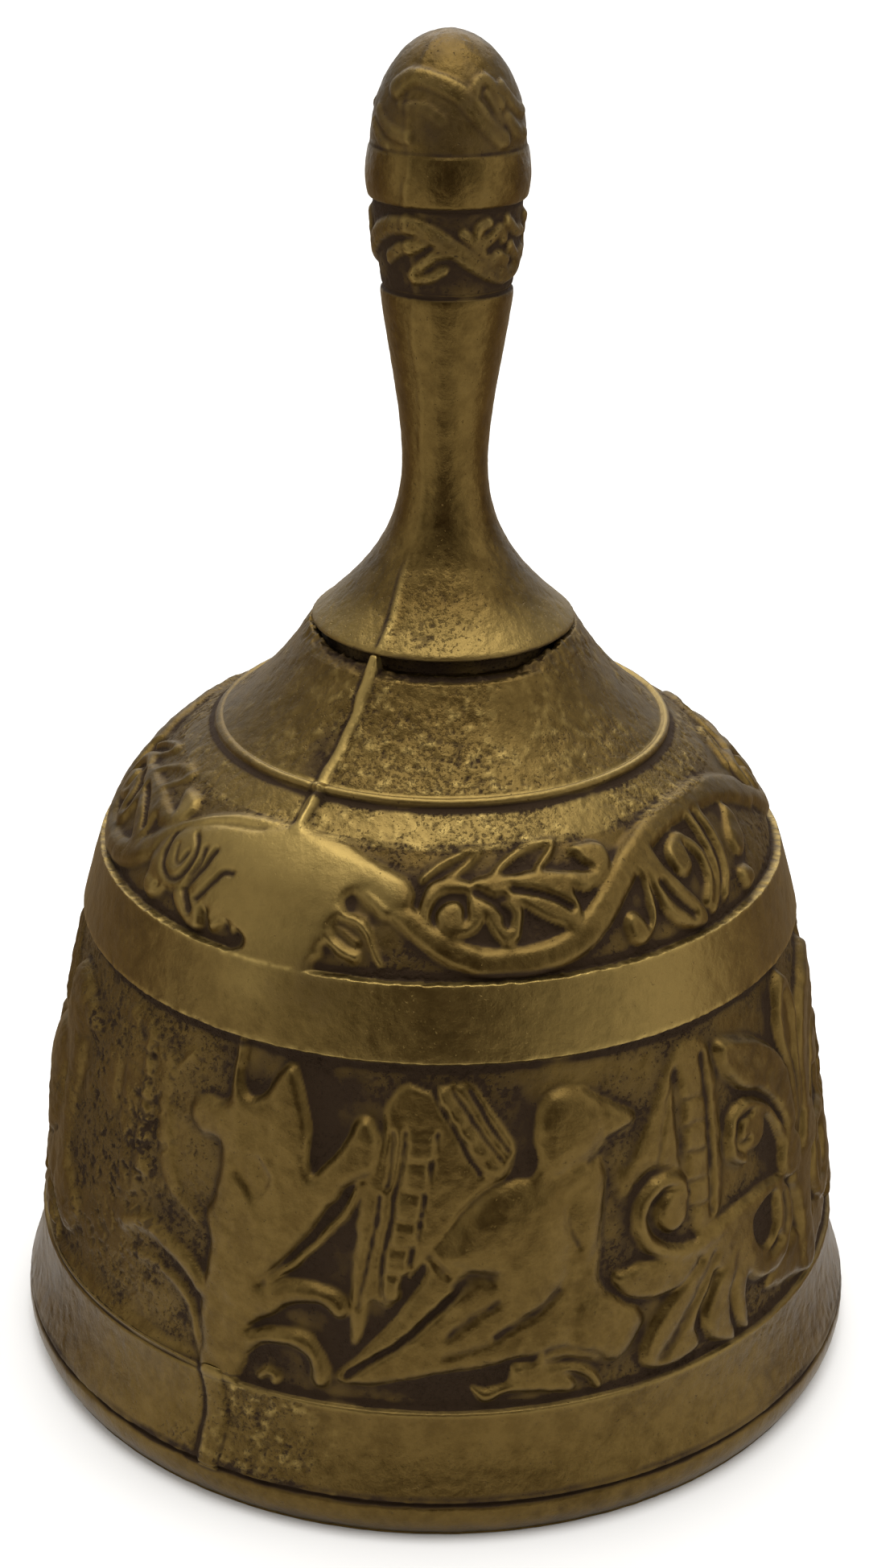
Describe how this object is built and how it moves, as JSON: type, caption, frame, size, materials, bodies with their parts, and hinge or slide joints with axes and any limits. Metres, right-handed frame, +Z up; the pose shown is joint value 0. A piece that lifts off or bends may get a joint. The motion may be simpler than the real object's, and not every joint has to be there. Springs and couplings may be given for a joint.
{
  "type": "hand bell",
  "caption": "Cast brass hand bell with embossed panel and shoulder scrollwork, a waisted handle with a domed knob, and an iron clapper hung on a ring from an eye bolt.",
  "frame": {"origin": "centre of the rim that the bell stands on, at the height of its lowest edge", "axes": "+Z up along the bell's axis to the knob; -Y faces the viewer of the picture, +X to the viewer's right"},
  "size_m": [0.102, 0.102, 0.154],
  "materials": {
    "bell_brass": "sand-cast brass, aged olive-brown with dark grime in the recesses and rubbed high points",
    "handle_brass": "cast brass worn smooth and brown by handling",
    "fixing_iron": "dull oiled iron with light rust",
    "clapper_iron": "forged iron, dark scale with light rust",
    "ball_iron": "iron ball, dark, rubbed brighter where it strikes"
  },
  "bodies": {
    "bell": {"bell_body": "bell_brass", "handle": "handle_brass", "eye_bolt": "fixing_iron", "washer": "fixing_iron", "nut": "fixing_iron"},
    "ring": {"hanging_ring": "clapper_iron"},
    "clapper": {"clapper_rod": "clapper_iron", "clapper_ball": "ball_iron"}
  },
  "joints": [
    {"name": "ring_swing", "type": "hinge", "parent": "bell", "child": "ring", "pos_m": [0, 0, 0.06495], "axis": [0, 1, 0], "range_deg": [-39, 39]},
    {"name": "clapper_swing", "type": "hinge", "parent": "ring", "child": "clapper", "pos_m": [0, 0, 0.0565], "axis": [1, 0, 0], "range_deg": [-8, 8]}
  ]
}
